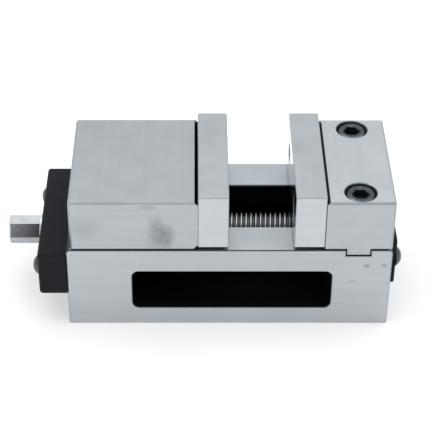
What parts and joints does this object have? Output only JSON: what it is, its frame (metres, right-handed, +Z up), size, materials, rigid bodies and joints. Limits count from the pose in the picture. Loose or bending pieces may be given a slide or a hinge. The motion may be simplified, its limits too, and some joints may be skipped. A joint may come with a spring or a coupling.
{
  "type": "machine vise",
  "caption": "Low-profile precision machine vise: channel bed with a window in its front side, bolted fixed jaw, screw-driven sliding jaw, hex drive and black end plate.",
  "frame": {"origin": "centre of the bed's flat underside", "axes": "+X along the lead screw from the hex drive end towards the fixed jaw, +Y across the bed, +Z up from the underside"},
  "size_m": [0.2661, 0.1, 0.1049],
  "materials": {
    "ground_steel": "surface-ground, satin, fine straight grain",
    "hardened_steel": "hardened and surface-ground",
    "black_oxide": "blackened steel, satin",
    "fastener_black": "black oxide cap and button screws",
    "screw_steel": "turned and oiled, bright on the crests",
    "bearing_steel": "ground bright",
    "bronze": "turned bearing bronze",
    "cast_iron": "milled ductile iron"
  },
  "bodies": {
    "base": {"vise_body": "ground_steel", "fixed_jaw": "ground_steel", "fixed_jaw_plate": "hardened_steel", "fixed_jaw_bolt_front": "fastener_black", "fixed_jaw_bolt_rear": "fastener_black", "fixed_plate_screw_front": "fastener_black", "fixed_plate_screw_rear": "fastener_black", "drive_end_plate": "black_oxide", "drive_plate_screw_front": "fastener_black", "drive_plate_screw_rear": "fastener_black", "drive_bush": "bronze", "thrust_washer_outer": "bearing_steel", "thrust_needle_cage": "bearing_steel", "tail_end_plate": "black_oxide", "tail_plate_screw_front": "fastener_black", "tail_plate_screw_rear": "fastener_black", "tail_bush": "bronze"},
    "screw": {"lead_screw": "screw_steel", "thrust_collar": "screw_steel", "collar_pin": "bearing_steel", "thrust_washer_inner": "bearing_steel"},
    "sliding_jaw": {"movable_jaw": "ground_steel", "movable_jaw_plate": "hardened_steel", "movable_plate_screw_front": "fastener_black", "movable_plate_screw_rear": "fastener_black", "lead_nut": "cast_iron", "half_ball": "bearing_steel", "nut_set_screw": "fastener_black"}
  },
  "joints": [
    {"name": "screw_spin", "type": "hinge", "parent": "base", "child": "screw", "pos_m": [0, 0, 0.0422], "axis": [1, 0, 0], "range_deg": [-5455, 4637]},
    {"name": "jaw_slide", "type": "slide", "parent": "base", "child": "sliding_jaw", "axis": [1, 0, 0], "range_m": [-0.05, 0.0425]}
  ],
  "couplings": [
    {"joint": "screw_spin", "follows": "jaw_slide", "rad_per_m": 1904}
  ]
}
